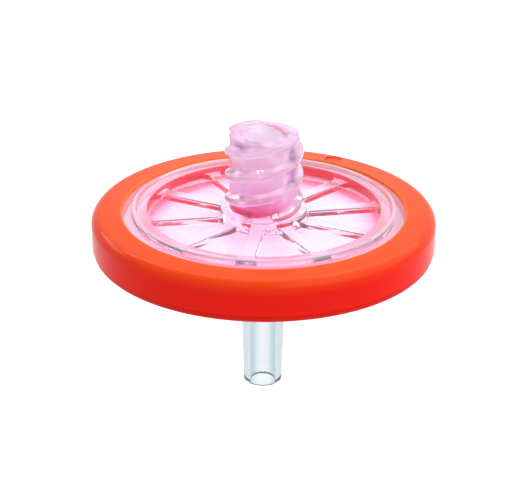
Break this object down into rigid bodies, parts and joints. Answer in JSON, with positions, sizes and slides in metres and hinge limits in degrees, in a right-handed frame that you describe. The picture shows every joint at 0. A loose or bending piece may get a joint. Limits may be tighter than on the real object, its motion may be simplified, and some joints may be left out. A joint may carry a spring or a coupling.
{
  "type": "syringe filter",
  "caption": "Disc-shaped syringe filter with a threaded female luer inlet, two clear ribbed housings around a membrane, an overmoulded ring and a plain male luer outlet.",
  "frame": {"origin": "centre of the inlet's mouth, on the filter's axis", "axes": "+Z along the filter's axis, out of the inlet towards the syringe; the outlet points along -Z"},
  "size_m": [0.0344, 0.0344, 0.0273],
  "materials": {
    "inlet_plastic": "clear moulded plastic with a pink tint, glossy",
    "outlet_plastic": "clear moulded plastic, colourless, glossy",
    "membrane": "white porous film, matt",
    "ring_plastic": "orange-red moulded plastic, glossy"
  },
  "bodies": {
    "root": {"inlet_housing": "inlet_plastic", "outlet_housing": "outlet_plastic", "membrane": "membrane", "overmold_ring": "ring_plastic"}
  },
  "joints": []
}
